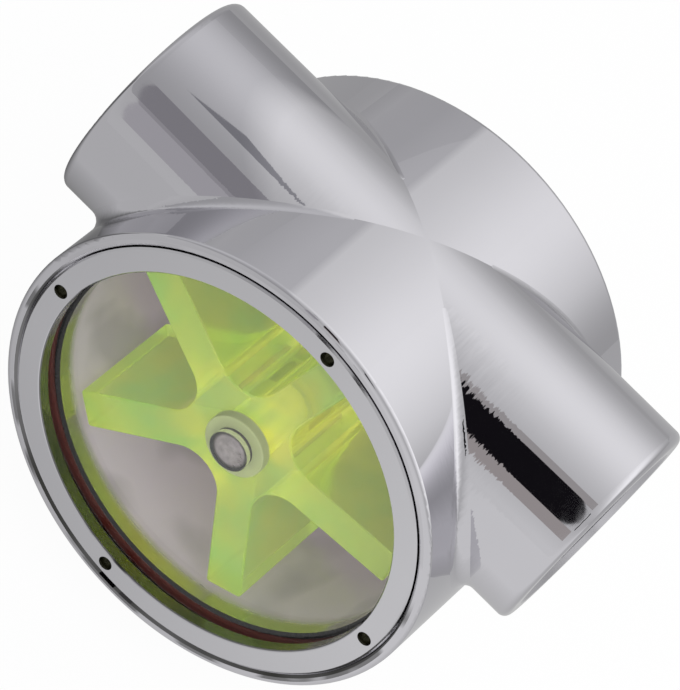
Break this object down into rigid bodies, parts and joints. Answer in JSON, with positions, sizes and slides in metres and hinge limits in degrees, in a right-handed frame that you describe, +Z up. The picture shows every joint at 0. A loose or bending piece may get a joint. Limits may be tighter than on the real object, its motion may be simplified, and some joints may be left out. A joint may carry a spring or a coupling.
{
  "type": "impeller flow indicator",
  "caption": "In-line flow indicator: a short drum with a round sight window over a bladed impeller, crossed by a pipe with a female thread at each end.",
  "frame": {"origin": "on the impeller's axis, halfway along the drum, which is the middle of the whole part", "axes": "+X along the pipe towards the outlet, -Y out of the sight window, +Z up towards the pipe's side of the drum"},
  "size_m": [0.085, 0.049, 0.07],
  "materials": {
    "plated_housing": "polished plating",
    "plated_ring": "fine turned, plated",
    "clear_window": "clear moulded plastic",
    "seal_rubber": "smooth red-brown",
    "impeller_plastic": "fluorescent translucent",
    "bearing_plastic": "natural white",
    "axle_steel": "ground pin"
  },
  "bodies": {
    "housing_body": {"housing": "plated_housing", "window_retaining_ring": "plated_ring", "sight_window": "clear_window", "window_seal": "seal_rubber", "axle": "axle_steel"},
    "rotor": {"impeller": "impeller_plastic", "front_bearing": "bearing_plastic", "rear_bearing": "bearing_plastic"}
  },
  "joints": [
    {"name": "impeller_spin", "type": "hinge", "parent": "housing_body", "child": "rotor", "pos_m": [0, 0, 0], "axis": [0, 1, 0], "continuous": true}
  ]
}
